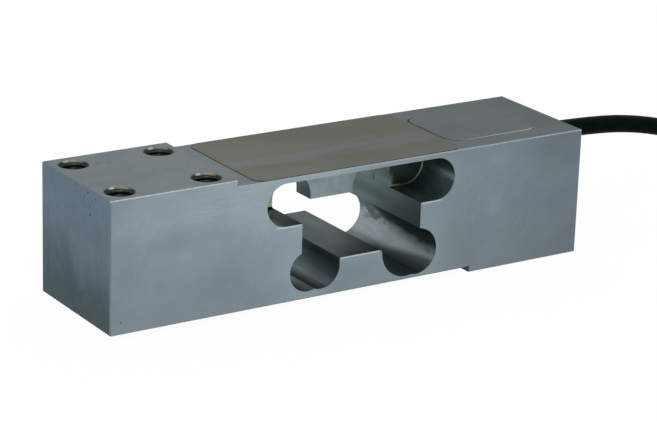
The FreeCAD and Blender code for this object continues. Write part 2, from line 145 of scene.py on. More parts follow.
@dataclass
class Graph:
    """A material's node tree, with a short method for each kind of node that it needs.

    Attributes:
        name: the material's name.
    """

    name: str

    def __post_init__(self) -> None:
        """Make an empty material with one shader and read the point on the surface.

        The point is in millimetres in the cell's own frame. The colour is what the coats
        laid so far come to.
        """
        self.material = bpy.data.materials.new(self.name)
        self.wire = partial(wire, clear_tree(self.material))
        self.shader = self.wire("BsdfPrincipled")
        self.wire("OutputMaterial", {"Surface": self.shader.outputs["BSDF"]})
        self.place = self.scaled(self.wire("TexCoord").outputs["Object"], 1 / mm)
        self.x, self.y, self.z = self.split(self.place)
        self.colour: Paint = (0.5, 0.5, 0.5)

    def maths(self, operation: str, *values: Number) -> Socket:
        """What a Math node's operation makes of its inputs."""
        return self.wire("Math", dict(enumerate(values)), operation=operation).outputs[0]

    def vectors(self, operation: str, *values: Socket | Point) -> Socket:
        """What a Vector Math node's operation makes of its inputs: a vector, or a length."""
        node = self.wire("VectorMath", dict(enumerate(values)), operation=operation)
        return node.outputs["Value" if operation == "LENGTH" else "Vector"]

    def scaled(self, vector: Paint, factor: Number) -> Socket:
        """A vector or colour times a number."""
        return self.wire("VectorMath", {0: vector, "Scale": factor}, operation="SCALE").outputs[0]

    def both(self, *values: Number) -> Socket:
        """The product of several numbers or masks."""
        return reduce(partial(self.maths, "MULTIPLY"), values)

    def either(self, *masks: Number) -> Socket:
        """The largest of several masks."""
        return reduce(partial(self.maths, "MAXIMUM"), masks)

    def plus(self, *values: Number) -> Socket:
        """The sum of several numbers."""
        return reduce(partial(self.maths, "ADD"), values)

    def less(self, value: Number, taken: Number) -> Socket:
        """A number with another taken from it."""
        return self.maths("SUBTRACT", value, taken)

    def absolute(self, value: Number) -> Socket:
        """A number without its sign."""
        return self.maths("ABSOLUTE", value)

    def split(self, vector: Socket) -> tuple[Socket, Socket, Socket]:
        """The X, Y and Z of a vector."""
        return tuple(self.wire("SeparateXYZ", {0: vector}).outputs)

    def joined(self, *values: Number) -> Socket:
        """A vector from three numbers."""
        return self.wire("CombineXYZ", dict(enumerate(values))).outputs[0]

    def facing(self) -> tuple[Socket, Socket, Socket]:
        """The X, Y and Z of the surface's own normal in the cell's frame."""
        return self.split(self.wire("TexCoord").outputs["Normal"])

    def noise(self, scale: Point, detail: float = 2.0, rough: float = 0.5, at: Socket | None = None) -> Socket:
        """Noise stretched along the axes.

        Args:
            scale: how many features there are to the unit along each axis.
            detail: how many finer layers there are.
            rough: how strong the finer layers are.
            at: the point to read it at, if not the one on the surface.

        Returns:
            The noise, from 0 to 1 with a middle of 0.5.
        """
        point = self.vectors("MULTIPLY", self.place if at is None else at, scale)
        inputs = {"Vector": point, "Scale": 1.0, "Detail": detail, "Roughness": rough}
        return self.wire("TexNoise", inputs).outputs["Fac"]

    def ramp(self, value: Number, start: float, end: float, low: float = 0.0, high: float = 1.0) -> Socket:
        """A smooth step: low until start, high from end on.

        Args:
            value: the number to read.
            start: where the step starts.
            end: where it ends, which may be below start.
            low: the result at start.
            high: the result at end.

        Returns:
            The stepped number.
        """
        if end < start:
            start, end, low, high = end, start, high, low
        inputs = {"Value": value, "From Min": start, "From Max": end, "To Min": low, "To Max": high}
        return self.wire("MapRange", inputs, interpolation_type="SMOOTHSTEP").outputs["Result"]

    def swing(self, noise: Socket, low: float, high: float) -> Socket:
        """A noise carried over to the reach between two numbers."""
        return self.ramp(noise, *noise_reach, low, high)

    def band(self, value: Number, low: float, high: float, soft: float) -> Socket:
        """1 between two numbers and 0 outside them, with soft ends."""
        return self.both(self.ramp(value, low - soft, low + soft), self.ramp(value, high + soft, high - soft))

    def within(self, *masks: Number, **steps: tuple[float, ...]) -> Socket:
        """The product of masks and of a smooth step along each axis that is named.

        Args:
            masks: the masks that are there already.
            steps: for x, y or z, where the step starts and ends and its results there.

        Returns:
            The narrower mask.
        """
        return self.both(*masks, *(self.ramp(getattr(self, axis), *step) for axis, step in steps.items()))

    def panel(self, along: Point, upward: Point) -> Socket:
        """A mask that is a band along X and a band up Z, each with its low, high and soft end."""
        return self.both(self.band(self.x, *along), self.band(self.z, *upward))

    def gap(self, middle: Point, share: Point) -> Socket:
        """How far the point lies from a middle, with each axis scaled by its share."""
        offset = self.vectors("SUBTRACT", self.place, middle)
        return self.vectors("LENGTH", self.vectors("MULTIPLY", offset, share))

    def from_rim(self, low: np.ndarray, high: np.ndarray, corner: float) -> Socket:
        """How far inside a flat outline with round corners the point lies.

        Args:
            low: the outline's lowest corner, in millimetres.
            high: its highest corner.
            corner: the radius of its corners.

        Returns:
            The distance from the outline, below 0 outside it; inside it grows only up
            to the corner's radius.
        """
        half = (high - low) / 2 - corner
        any_height = 100.0
        offset = self.vectors("ABSOLUTE", self.vectors("SUBTRACT", self.place, tuple((low + high) / 2)))
        over = self.vectors("SUBTRACT", offset, (half[0], half[1], any_height))
        over = self.vectors("MAXIMUM", over, (0.0, 0.0, 0.0))
        return self.less(corner, self.vectors("LENGTH", over))

    def paint(self, share: Number, under: Paint, over: Paint) -> Socket:
        """A colour laid over another by a share from 0 to 1."""
        return self.wire("Mix", {0: share, 6: under, 7: over}, data_type="RGBA").outputs[2]

    def blend(self, value: Number, start: float, end: float, first: Colour, second: Colour) -> None:
        """Start the colour anew: from one to another over a smooth step of a number."""
        self.colour = self.paint(self.ramp(value, start, end), first, second)

    def lay(self, mask: Socket, colour: Paint, share: float = 1.0) -> None:
        """Lay a coat, of which a share covers, over the colour where the mask is."""
        self.colour = self.paint(self.both(mask, share), self.colour, colour)

    def shade(self, value: Number, start: float, end: float, low: float, high: float) -> None:
        """Make the colour lighter or darker by a smooth step of a number."""
        self.colour = self.scaled(self.colour, self.ramp(value, start, end, low, high))

    def mottle(self, noise: Socket, low: float, high: float) -> None:
        """Make the colour lighter or darker by a noise."""
        self.shade(noise, *noise_reach, low, high)

    def zone(self, mask: Socket, coats: Callable[[], None]) -> None:
        """Lay a zone's own coats over the colour where its mask is."""
        under = self.colour
        coats()
        self.colour = self.paint(mask, under, self.colour)

    def bump(self, height: Socket, depth: float) -> None:
        """Raise the surface by a height from 0 to 1, where 1 stands up by a depth in millimetres."""
        node = self.wire("Bump", {"Strength": 1.0, "Distance": depth * mm, "Height": height})
        fill(self.shader, {"Normal": node.outputs["Normal"]})

    def finish(
        self, roughness: Number, metal: Number = metal_share, glancing: float = glancing_share
    ) -> Material:
        """Fill the shader's main inputs.

        Args:
            roughness: the roughness.
            metal: 1 for bare metal, 0 for anything else.
            glancing: how much of a clean metal's extra brightness at flat angles is left.

        Returns:
            The finished material.
        """
        tint = (glancing,) * 3
        values = {"Base Color": self.colour, "Roughness": roughness, "Metallic": metal, "Specular Tint": tint}
        fill(self.shader, values)
        return self.material


@dataclass(frozen=True)
class PlainFinish:
    """A finish of one material with slight mottling, a fine grain and uneven gloss.

    Attributes:
        colour: its middle colour.
        roughness: its middle roughness.
        metal: 1 for bare metal.
        mottle: how far the colour strays, as a share.
        patch: the size of a lighter or darker patch, in millimetres.
        grain: the depth of the grain, in millimetres.
        gloss: how far the roughness strays.
    """

    colour: Colour
    roughness: float = 0.5
    metal: float = 0.0
    mottle: float = 0.2
    patch: float = 3.0
    grain: float = 0.01
    gloss: float = 0.06

    def material(self, name: str) -> Material:
        """Build the material: two layers of noise steer its colour, gloss and grain."""
        graph = Graph(name)
        graph.colour = self.colour
        graph.mottle(graph.noise((1 / self.patch,) * 3, 3.0), 1 - self.mottle, 1 + self.mottle)
        grain = graph.noise((8 / self.patch,) * 3)
        graph.bump(grain, self.grain)
        roughness = graph.swing(grain, self.roughness - self.gloss, self.roughness + self.gloss)
        return graph.finish(roughness, self.metal, 1.0)


@dataclass(frozen=True)
class TwoToneFinish:
    """A film with metal above it, such as a gauge's carrier with its solder tabs.

    Attributes:
        film: the film's colour.
        metal: the metal's colour.
        level: the height at which the metal starts, in millimetres.
        soft: half the height over which one turns into the other.
    """

    film: Colour
    metal: Colour
    level: float
    soft: float = 0.004

    def material(self, name: str) -> Material:
        """Build the material: what lies above the level is bare metal."""
        graph = Graph(name)
        share = graph.ramp(graph.z, self.level - self.soft, self.level + self.soft)
        grain = graph.noise((3.0, 9.0, 3.0))
        graph.colour = graph.paint(share, self.film, self.metal)
        graph.mottle(grain, 0.85, 1.15)
        graph.bump(grain, 0.004)
        return graph.finish(0.3, share, 1.0)


def corners_of(node: str) -> tuple[np.ndarray, np.ndarray]:
    """The lowest and the highest corner of one of the cell's solids, in millimetres."""
    low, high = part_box(node)
    return np.array(low) / mm, np.array(high) / mm


def dress(node: str, material: Material) -> None:
    """Give one of the cell's solids its finish."""
    mesh = frame["nodes"][node].data
    mesh.materials.clear()
    mesh.materials.append(material)


def mesh_piece(
    name: str, points: np.ndarray, faces: np.ndarray, material: Material, smooth: bool = True
) -> Piece:
    """Put a worked-out surface into a new object at the origin.

    Args:
        name: the piece's name.
        points: the surface's points in millimetres, one row each.
        faces: the corners of each four-sided face, one row each.
        material: its finish.
        smooth: whether the light runs smoothly over the faces.

    Returns:
        The new object, in the scene.
    """
    mesh = bpy.data.meshes.new(name)
    mesh.from_pydata((points * mm).tolist(), [], faces.tolist())
    mesh.validate()
    mesh.polygons.foreach_set("use_smooth", np.full(len(mesh.polygons), smooth))
    mesh.materials.append(material)
    mesh.update()
    piece = bpy.data.objects.new(name, mesh)
    bpy.context.scene.collection.objects.link(piece)
    return piece


def ring_faces(rows: int, columns: int) -> np.ndarray:
    """The faces of a grid of points that closes on itself in both directions.

    Args:
        rows: how many rows of points there are.
        columns: how many points there are to a row.

    Returns:
        One row of four corners for each face.
    """
    row, column = np.indices((rows, columns))
    after_row = (row + 1) % rows
    after_column = (column + 1) % columns
    corners = ((row, column), (row, after_column), (after_row, after_column), (after_row, column))
    return np.stack([down * columns + along for down, along in corners], axis=-1).reshape(-1, 4)


@dataclass
class MilledMetal(Graph):
    """Bare milled aluminium in zones: front and back, ends, tops, webs and the window.

    Attributes:
        length_half: half the block's length, in millimetres.
        width_half: half its width.
        web_half: half the thickness of the web between the side pockets.
        pocket_floor: the height of the pockets' floor.
        top: the height of the top between the loading pad and the cable end.
        top_pad: the height of the loading pad.
        pad_inset: from each end to the middle of its hole pattern.
        hole_half: half the spacing of the holes.
        edge: the width of the broken edges.
        seat_corner: the radius of the corners of the cover's seat.
        cable_side: the step along X from the window's blocks to its cable side.
        swirls: middle X and Z, inner and outer radius of the milling swirls on the sides.
        painted_light_patches: middle X and Z, reach along X and Z and factor of the painted
        light and shade patches on the sides, lighter and darker.
        glints: the bands along X and up Z of the bright rims beside the window.
        dents: X, Y, Z, radius and stretch along X of the pits and the dark specks.
    """

    length_half: float
    width_half: float
    web_half: float = 3.6
    pocket_floor: float = 23.0
    top: float = 36.4
    top_pad: float = 38.0
    pad_inset: float = 18.75
    hole_half: float = 12.7
    edge: float = 0.3
    seat_corner: float = 4.0
    cable_side: tuple[float, float] = (20.6, 21.4)
    swirls: Rows = ((47.0, 17.0, 3.0, 18.0), (-48.0, 14.0, 12.0, 27.0))
    painted_light_patches: Rows = (
        (-58.0, 32.0, 14.0, 8.0, 1.12), (-58.5, 25.0, 7.5, 4.2, 0.89), (-37.0, 10.0, 15.0, 17.0, 0.86),
        (35.0, 18.0, 8.0, 24.0, 0.89), (70.0, 34.0, 14.0, 11.0, 0.84), (1.0, 4.0, 17.0, 10.0, 0.82),
        (15.0, 36.0, 20.0, 1.6, 0.86), (45.5, 19.0, 3.0, 3.6, 1.13), (46.5, 32.5, 4.0, 2.2, 1.07),
    )
    glints: tuple[tuple[Point, Point], ...] = (
        ((-5.2, 7.4, 0.2), (11.1, 11.6, 0.05)),
        ((-25.5, -18.0, 1.0), (22.6, 23.1, 0.05)),
        ((20.8, 27.0, 1.0), (22.6, 23.1, 0.05)),
    )
    dents: Rows = (
        (-75.0, -0.4, 37.4, 0.4, 1.0), (-75.0, -8.1, 33.5, 0.4, 1.0), (-75.0, -8.1, 31.3, 0.5, 1.0),
        (-75.0, -6.9, 36.9, 0.4, 1.0), (-75.0, -11.2, 36.2, 0.35, 1.0), (-75.0, -5.1, 35.6, 0.3, 1.0),
        (-75.0, 7.9, 27.9, 0.25, 1.0), (-75.0, 11.0, 34.0, 0.25, 1.0), (-75.0, 2.5, 5.7, 0.3, 1.0),
        (-71.9, -19.0, 5.0, 0.3, 1.0), (27.3, -19.0, 4.6, 0.3, 1.0), (-48.6, -1.4, 38.0, 0.35, 3.0),
        (-52.3, -0.5, 38.0, 0.35, 2.0), (-57.9, 2.9, 38.0, 0.3, 1.0), (-48.8, 14.6, 38.0, 0.3, 1.0),
        (-62.5, 10.7, 38.0, 0.35, 4.0), (-59.9, 9.9, 38.0, 0.3, 3.0), (-42.2, -0.5, 38.0, 0.4, 1.0),
        (-58.0, -5.5, 38.0, 0.3, 2.0), (-40.0, 3.4, 36.4, 0.3, 1.0), (-35.1, 8.5, 36.4, 0.35, 2.0),
    )

    def __post_init__(self) -> None:
        """Add what several zones read: the normal, slow clouds, tool lines and swirls."""
        super().__post_init__()
        self.normal = self.facing()
        self.away = self.absolute(self.y)
        self.clouds = self.noise((0.05, 0.05, 0.07), 3.0, 0.55)
        self.across = self.noise((0.9, 0.03, 0.9), 4.0, 0.65)
        self.marks = self.swirl_marks()

    def square_on(self, part: Socket) -> Socket:
        """1 where a part of the normal is nearly all of it."""
        return self.ramp(part, 0.85, 0.95)

    def build(self) -> Material:
        """Lay each zone's coats over the inside's by its mask, from the webs to the holes.

        Returns:
            The finished material.
        """
        nx, ny, nz = self.normal
        flank = self.square_on(self.absolute(ny))
        side = self.both(flank, self.ramp(self.away, self.width_half - 0.3, self.width_half - 0.1))
        web = self.both(flank, self.band(self.away, self.web_half - 0.1, self.web_half + 0.1, 0.05))
        ends = self.ramp(self.absolute(self.x), self.length_half - 0.4, self.length_half - 0.15)
        end = self.both(self.square_on(self.absolute(nx)), ends)
        top = self.within(self.square_on(nz), z=(self.top - 1.5, self.top - 1.3))
        bottom = self.within(self.ramp(nz, -0.85, -0.95), z=(1.8, 1.65))
        steep = self.absolute(nz)
        rim = self.ramp(self.away, self.width_half - self.edge - 0.1, self.width_half - self.edge + 0.05)
        level_edge = self.both(self.either(rim, ends), self.band(steep, 0.5, 0.85, 0.03))
        corner_edge = self.both(rim, ends, self.less(1.0, flank), self.ramp(steep, 0.2, 0.1))
        zones = (
            (web, self.web),
            (side, self.side),
            (self.either(top, bottom), self.flat),
            (end, self.end),
            (self.either(level_edge, corner_edge), self.broken_edge),
        )
        self.inside()
        for mask, coats in zones:
            self.zone(mask, coats)
        dents = self.dent_marks()
        self.lay(dents, (0.012, 0.02, 0.022), 0.75)
        self.holes()
        grain = self.noise((2.5, 2.5, 2.5), 3.0, 0.6)
        self.mottle(grain, 0.97, 1.03)

        outer = self.either(side, web, end, top, bottom)
        lines = self.both(self.across, self.less(1.0, outer))
        height = self.plus(self.both(grain, 0.25), self.both(lines, 0.5))
        self.bump(self.less(height, dents), 0.006)
        return self.finish(self.less(self.swing(self.clouds, 0.38, 0.48), self.both(self.marks, 0.05)))

    def from_hole(self) -> list[Socket]:
        """How far the point lies from its hole's middle, towards the end and towards the back.

        The absolute value of X folds the two patterns onto one, and the absolute distance
        from the pattern's middle lines folds its four holes onto one.

        Returns:
            The two distances.
        """
        along = self.less(self.absolute(self.x), self.length_half - self.pad_inset)
        folded = []
        for measure in (along, self.y):
            gap = self.less(self.absolute(measure), self.hole_half)
            folded.append(self.both(gap, self.maths("SIGN", measure)))
        return folded

    def holes(self) -> None:
        """The cones at the holes: painted shade that darkens with depth, with a painted warm
        reflection on the far side and a painted cool glint at the rim.

        The depth is measured from the nearer pad: the upper one on the loading side, the
        underside on the cable side.
        """
        outward, back = self.from_hole()
        below = self.less(self.top_pad, self.z)
        flipped = self.both(self.maths("GREATER_THAN", self.x, 0.0), self.less(self.z, below))
        depth = self.plus(below, flipped)
        radius = self.vectors("LENGTH", self.joined(outward, back, 0.0))
        cone = self.both(self.ramp(radius, 4.30, 4.25), self.band(depth, 0.06, 1.2, 0.04))
        rim = self.ramp(depth, 0.58, 0.42)
        uneven = self.noise((0.09, 0.09, 0.0), 1.0)
        # Painted warm reflection on the cone's far side, and a painted cool glint beside it
        film = self.both(rim, self.ramp(back, 0.6, 2.0), self.band(outward, -3.7, -0.6, 0.5))
        painted_glint = self.both(rim, self.ramp(back, 1.5, 2.4), self.band(outward, -0.5, 1.0, 0.5))
        under = self.colour
        # Painted shade: grey at the rim, near black deeper in the hole
        self.blend(depth, 0.12, 0.3, (0.13, 0.155, 0.16), (0.018, 0.030, 0.028))
        self.lay(self.both(film, self.ramp(uneven, 0.35, 0.55, 0.5, 1.0)), (0.21, 0.19, 0.115))
        self.lay(self.both(painted_glint, self.ramp(uneven, 0.65, 0.45, 0.45, 1.0)), (0.36, 0.44, 0.455))
        self.colour = self.paint(cone, under, self.colour)

    def side(self) -> None:
        """Front and back: cloudy cool grey under painted light and shade, lightest above the window's
        left end, with painted highlights on the rims beside the window.
        """
        self.blend(self.clouds, *noise_middle, (0.222, 0.280, 0.318), (0.262, 0.318, 0.352))
        # Painted light and shade: lightest above the window's left end, darker to the right and lower down
        self.shade(self.x, -75.0, -20.0, 0.96, 1.19)
        self.shade(self.x, -15.0, 72.0, 1.0, 0.58)
        self.shade(self.z, 34.0, 4.0, 1.05, 0.91)
        # Painted patches of light and shade
        for middle_x, middle_z, reach_x, reach_z, factor in self.painted_light_patches:
            gap = self.gap((middle_x, 0.0, middle_z), (1 / reach_x, 0.0, 1 / reach_z))
            self.shade(gap, 0.3, 1.3, factor, 1.0)
        shown = self.within(z=(20.0, 29.0, 0.15, 0.5), x=(20.0, 10.0))
        shown = self.plus(shown, self.ramp(self.x, 10.0, 20.0, 0.0, 0.17))
        self.lay(self.both(self.marks, shown), (0.46, 0.50, 0.53))

        lifted = self.vectors("ADD", self.place, self.joined(0.0, 0.0, self.noise((0.09, 1.0, 0.02), 1.0)))
        waves = self.ramp(self.noise((0.07, 0.05, 1.1), 3.0, 0.6, lifted), 0.48, 0.72)
        waves = self.both(waves, self.panel((-50.0, -24.0, 6.0), (28.0, 35.0, 3.0)))
        self.lay(waves, (0.50, 0.50, 0.50), 0.3)
        turned = self.joined(self.plus(self.x, self.z), self.y, self.less(self.z, self.x))
        strokes = self.ramp(self.noise((0.12, 1.0, 1.0), 3.0, 0.6, turned), 0.48, 0.78)
        strokes = self.both(strokes, self.panel((36.0, 50.0, 7.0), (14.0, 32.0, 5.0)))
        self.lay(strokes, (0.36, 0.41, 0.44), 0.35)
        # Painted highlights along the rims beside the window
        glints = self.either(*(self.panel(*bands) for bands in self.glints))
        self.lay(glints, (0.60, 0.66, 0.66), 0.6)

    def end(self) -> None:
        """The ends: bluish at the top and darker towards the bottom as painted shade, with a ragged
        edge from noise, blots and scratches.
        """
        ragged_shade_edge = self.noise((1.0, 0.12, 0.08), 3.0, 0.6)
        blots = self.noise((1.0, 0.5, 0.3), 4.0, 0.65)
        scratches = self.noise((1.0, 2.4, 0.25), 3.0, 0.7)
        # Painted shade: bluish at the top, darker towards the bottom
        height = self.plus(self.z, self.swing(ragged_shade_edge, -4.0, 4.0))
        self.blend(height, 32.0, 3.0, (0.130, 0.186, 0.236), (0.062, 0.090, 0.100))
        self.mottle(blots, 0.94, 1.06)
        self.shade(scratches, 0.66, 0.78, 1.0, 1.22)
        self.shade(scratches, 0.30, 0.20, 1.0, 0.72)

    def flat(self) -> None:
        """The pads and the top: cool grey with fine marks along the cell."""
        streaks = self.noise((0.35, 2.4, 1.0), 4.0, 0.65)
        self.blend(self.x, -50.0, 30.0, (0.106, 0.128, 0.137), (0.069, 0.083, 0.089))
        self.mottle(streaks, 0.93, 1.07)
        self.mottle(self.noise((0.08, 0.12, 1.0)), 0.95, 1.06)
        self.shade(self.x, 60.0, 68.0, 1.0, 0.92)
        self.lay(self.ramp(streaks, 0.30, 0.22), (0.03, 0.04, 0.044))
        self.seat_lines()

    def seat_lines(self) -> None:
        """The cover's outline: a painted shadow line beside the gauges, a painted highlight line on the near
        side.
        """
        low, high = corners_of("cover_adhesive")
        away = self.absolute(self.less(self.from_rim(low, high, self.seat_corner), 0.12))
        # Painted highlight along the seat's near edge
        line = self.ramp(away, 0.34, 0.18)
        pale = self.within(line, y=(low[1] + 1.6, low[1] + 0.8), x=(low[0] + 4.5, low[0] + 6.0))
        reach = self.ramp(self.x, low[0] + 5.0, high[0] - 3.0)
        self.lay(pale, self.paint(reach, (0.15, 0.165, 0.155), (0.30, 0.31, 0.275)))
        # Painted shadow line in the gap beside the gauges
        line = self.ramp(away, 0.42, 0.16)
        dark = self.within(line, x=(low[0] + 5.5, low[0] + 4.0), y=(high[1] - 0.2, high[1] - 1.5))
        self.lay(dark, (0.010, 0.024, 0.024))

    def web(self) -> None:
        """The webs: light between the window's ends, dark olive past its cable side as painted shade, with
        painted golden reflections.
        """
        self.blend(self.x, 6.0, 12.0, (0.27, 0.325, 0.345), (0.20, 0.235, 0.245))
        # Painted shade: dark olive past the cable side, deep in the pocket
        self.lay(self.ramp(self.x, 19.9, 20.6), (0.050, 0.062, 0.050))
        self.mottle(self.noise((0.25, 1.0, 0.25), 3.0, 0.6), 0.90, 1.10)
        near = self.ramp(self.y, 0.5, -0.5)
        # Painted golden reflections: low on the near web by the window's left end, and a bar by its cable side
        left = self.within(near, self.band(self.z, 23.2, 24.3, 0.25), x=(-17.2, -18.2))
        self.lay(left, (0.50, 0.46, 0.36))
        fade = self.within(x=(22.0, 20.5), z=(28.0, 24.0))
        foot = self.within(z=(23.8, 23.2), x=(24.5, 21.5))
        self.lay(self.within(near, self.either(fade, foot), x=(20.2, 20.5)), (0.56, 0.53, 0.35))

    def inside(self) -> None:
        """The window's walls: dull grey with tool lines across the block and a ground strip, painted
        shade on the lower block's top and on the bottom step, and a painted teal reflection in the
        cable-side lobe.
        """
        soft = self.noise((0.22, 0.03, 0.22), 3.0)
        self.blend(soft, *noise_middle, (0.090, 0.124, 0.130), (0.134, 0.172, 0.180))
        # Painted shade on the lower block's top inside the window
        shelf = self.within(self.ramp(self.normal[2], 0.9, 0.97), z=(12.5, 12.0))
        self.shade(shelf, 0.0, 1.0, 1.0, 0.50)
        self.mottle(self.across, 0.93, 1.06)
        # Painted teal reflection in the cable-side lobe
        lobe = self.within(x=self.cable_side, z=(15.9, 15.3))
        self.lay(lobe, (0.080, 0.112, 0.117), 0.8)
        outer = self.within(self.ramp(self.x, 20.6, 20.0), x=(11.0, 12.5), z=(11.4, 10.8))
        self.shade(outer, 0.0, 1.0, 1.0, 1.5)
        # Painted shade on the low step face where the cable-side bottom pad starts
        self.shade(self.within(x=(37.0, 37.3), z=(1.9, 1.65)), 0.0, 1.0, 1.0, 0.45)
        ragged = self.ramp(self.noise((0.4, 0.2, 0.4)), 0.25, 0.75, -2.0, 2.0)
        fine = self.noise((1.5, 0.25, 1.5), 3.0, 0.6)
        lip = self.less(self.plus(self.z, ragged), self.ramp(self.y, 8.0, 19.0, 0.0, 1.0))
        lip = self.plus(lip, self.ramp(self.y, -2.0, -19.0, 0.0, 1.8))
        sole = self.less(self.z, self.ramp(self.y, 4.0, -19.0, 0.0, 2.0))
        strip = self.within(self.ramp(lip, 10.2, 7.6), self.ramp(sole, 2.8, 4.6), x=self.cable_side)
        self.lay(self.both(strip, self.ramp(fine, 0.25, 0.6, 0.8, 1.0)), (0.30, 0.34, 0.365))
        self.pockets()

    def pockets(self) -> None:
        """The side pockets: painted green reflection on the cable side, painted shade on the near floor
        by the web and a painted golden reflection beside the window.
        """
        level = self.within(z=(self.pocket_floor - 0.3, self.pocket_floor - 0.1), y=(-3.0, -3.5))
        self.zone(self.within(level, x=(20.6, 21.2)), self.cable_pocket)
        near_floor = self.within(level, x=(-17.0, -18.0))
        # Painted shade on the near pocket's floor beside the web
        self.lay(self.within(near_floor, y=(-5.6, -5.2)), (0.012, 0.018, 0.016))
        # A painted golden reflection on that floor
        slant = self.plus(self.x, self.both(self.y, -0.775))
        painted_reflection = self.both(near_floor, self.band(slant, -15.3, -14.5, 0.3), self.band(self.y, -10.5, -5.6, 0.3))
        self.lay(painted_reflection, (0.55, 0.51, 0.38))

    def cable_pocket(self) -> None:
        """The pocket's cable end: painted green reflection with a painted sheen, and a painted lighter fillet
        in the web's corner.
        """
        # Painted reflection: the green of the pocket's end
        cloudy = self.noise((0.25, 0.12, 0.25), 3.0, 0.6)
        self.blend(cloudy, *noise_middle, (0.12, 0.195, 0.20), (0.205, 0.287, 0.293))
        # Painted highlight streak along the end's curve
        sheen = self.both(self.band(self.z, 28.0, 29.4, 0.9), self.ramp(self.away, 4.0, 11.0))
        self.lay(sheen, (0.38, 0.47, 0.54))
        # Painted highlight on the fillet in the web's corner
        self.lay(self.ramp(self.away, self.web_half + 0.4, self.web_half + 0.1), (0.17, 0.195, 0.185))

    def broken_edge(self) -> None:
        """The broken edges: a painted cool highlight along the upper ones, and on the loading pad's
        crest a warm white burr with a painted highlight.
        """
        wear = self.noise((0.8, 0.8, 0.8), 4.0, 0.7)
        side, sloped = (self.ramp(self.absolute(part), 0.3, 0.5) for part in self.normal[1:])
        upper = self.within(side, sloped, z=(self.top - 0.5, self.top - 0.4))
        pad = self.within(upper, z=(self.top + 0.8, self.top + 1.1))
        crest = self.within(pad, z=(self.top_pad - 0.2, self.top_pad - 0.1))
        self.colour = self.paint(side, (0.15, 0.19, 0.23), (0.17, 0.21, 0.235))
        # Painted cool highlight along the upper broken edges, lighter again on the pad's
        self.lay(upper, (0.31, 0.375, 0.41))
        self.shade(wear, *noise_middle, 0.85, 1.05)
        self.lay(pad, (0.30, 0.36, 0.40))
        # The pad's crest: a warm white burr that also holds a painted highlight
        self.lay(self.both(crest, self.ramp(wear, 0.36, 0.6, 0.35, 1.0)), (0.62, 0.60, 0.54))

    def swirl_marks(self) -> Socket:
        """Fine arcs left by a cutter's face: noise over the radius and the angle round a middle.

        Returns:
            The swirls' mask.
        """
        marks = []
        for number, (middle_x, middle_z, inner, outer) in enumerate(self.swirls):
            x = self.less(self.x, middle_x)
            z = self.less(self.z, middle_z)
            radius = self.vectors("LENGTH", self.joined(x, z, 0.0))
            around = self.joined(radius, self.maths("ARCTAN2", z, x), float(number))
            arcs = self.ramp(self.noise((2.6, 0.9, 1.0), 4.0, 0.7, around), 0.50, 0.80)
            marks.append(self.both(arcs, self.band(radius, inner + 2.0, outer - 4.0, 4.0)))
        return self.either(*marks)

    def dent_marks(self) -> Socket:
        """The pits and specks: each darkest at its middle.

        Returns:
            Their mask.
        """
        masks = []
        for x, y, z, radius, stretch in self.dents:
            gap = self.gap((x, y, z), (1 / stretch, 1.0, 1.0))
            masks.append(self.ramp(gap, radius, radius * 0.4))
        return self.either(*masks)


@dataclass(frozen=True)
class ThreadMetal:
    """The cut threads: grey at the rim and nearly black below, as painted shade in the hole.

    Attributes:
        height: the block's height, in millimetres.
        lit: how far below the pad the grey reaches.
        dark: where it is all dark.
    """

    height: float = 38.0
    lit: float = 0.9
    dark: float = 1.6

    def material(self, name: str) -> Material:
        """Build the material: painted shade darkens it with the depth below the nearer pad."""
        graph = Graph(name)
        depth = graph.maths("MINIMUM", graph.less(self.height, graph.z), graph.z)
        grain = graph.noise((2.0, 2.0, 2.0), 3.0)
        # Painted shade: darker with depth in the hole
        graph.blend(depth, self.lit, self.dark, (0.055, 0.065, 0.058), (0.010, 0.018, 0.016))
        graph.mottle(grain, 0.7, 1.3)
        graph.bump(grain, 0.02)
        return graph.finish(0.35, metal_share, 0.5)


